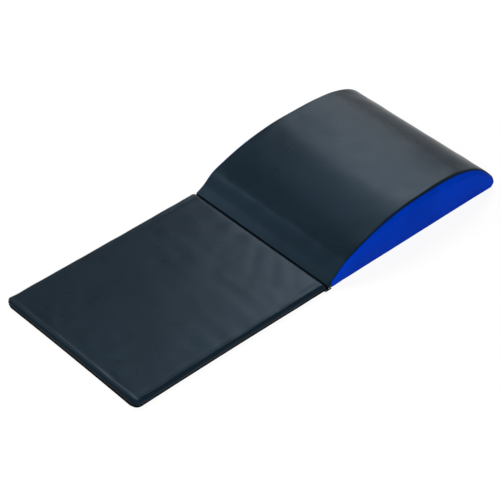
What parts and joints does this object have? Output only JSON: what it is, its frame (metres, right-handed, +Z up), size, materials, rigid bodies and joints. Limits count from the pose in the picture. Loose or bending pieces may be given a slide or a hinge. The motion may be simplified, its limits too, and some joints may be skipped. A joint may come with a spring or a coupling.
{
  "type": "folding ab mat",
  "caption": "Contoured foam sit-up wedge with a thin padded tail pad hinged to its low end by a fabric web.",
  "frame": {"origin": "middle of the mat on the floor, under the hinge line between the two cushions", "axes": "+Y from the tail pad to the wedge's thick end, +Z up from the floor, +X across the mat"},
  "size_m": [0.307, 0.7568, 0.0705],
  "materials": {
    "black_vinyl": "soft satin vinyl with a fine grain",
    "blue_vinyl": "soft satin vinyl with a fine grain",
    "base_fabric": "matt non-slip woven base",
    "foam": "matt closed-cell foam",
    "web_fabric": "matt woven web"
  },
  "bodies": {
    "wedge": {"wedge_foam_core": "foam", "wedge_top_cover": "black_vinyl", "wedge_side_panel_left": "blue_vinyl", "wedge_side_panel_right": "blue_vinyl", "wedge_base_cover": "base_fabric", "hinge_web": "web_fabric"},
    "tail_pad": {"tail_pad_foam": "foam", "tail_pad_top_cover": "black_vinyl", "tail_pad_base_cover": "base_fabric"}
  },
  "joints": [
    {"name": "tail_pad_fold", "type": "hinge", "parent": "wedge", "child": "tail_pad", "pos_m": [0, 0.002, -0.0002], "axis": [1, 0, 0], "range_deg": [-25, 180], "deforming": ["hinge_web"]}
  ]
}
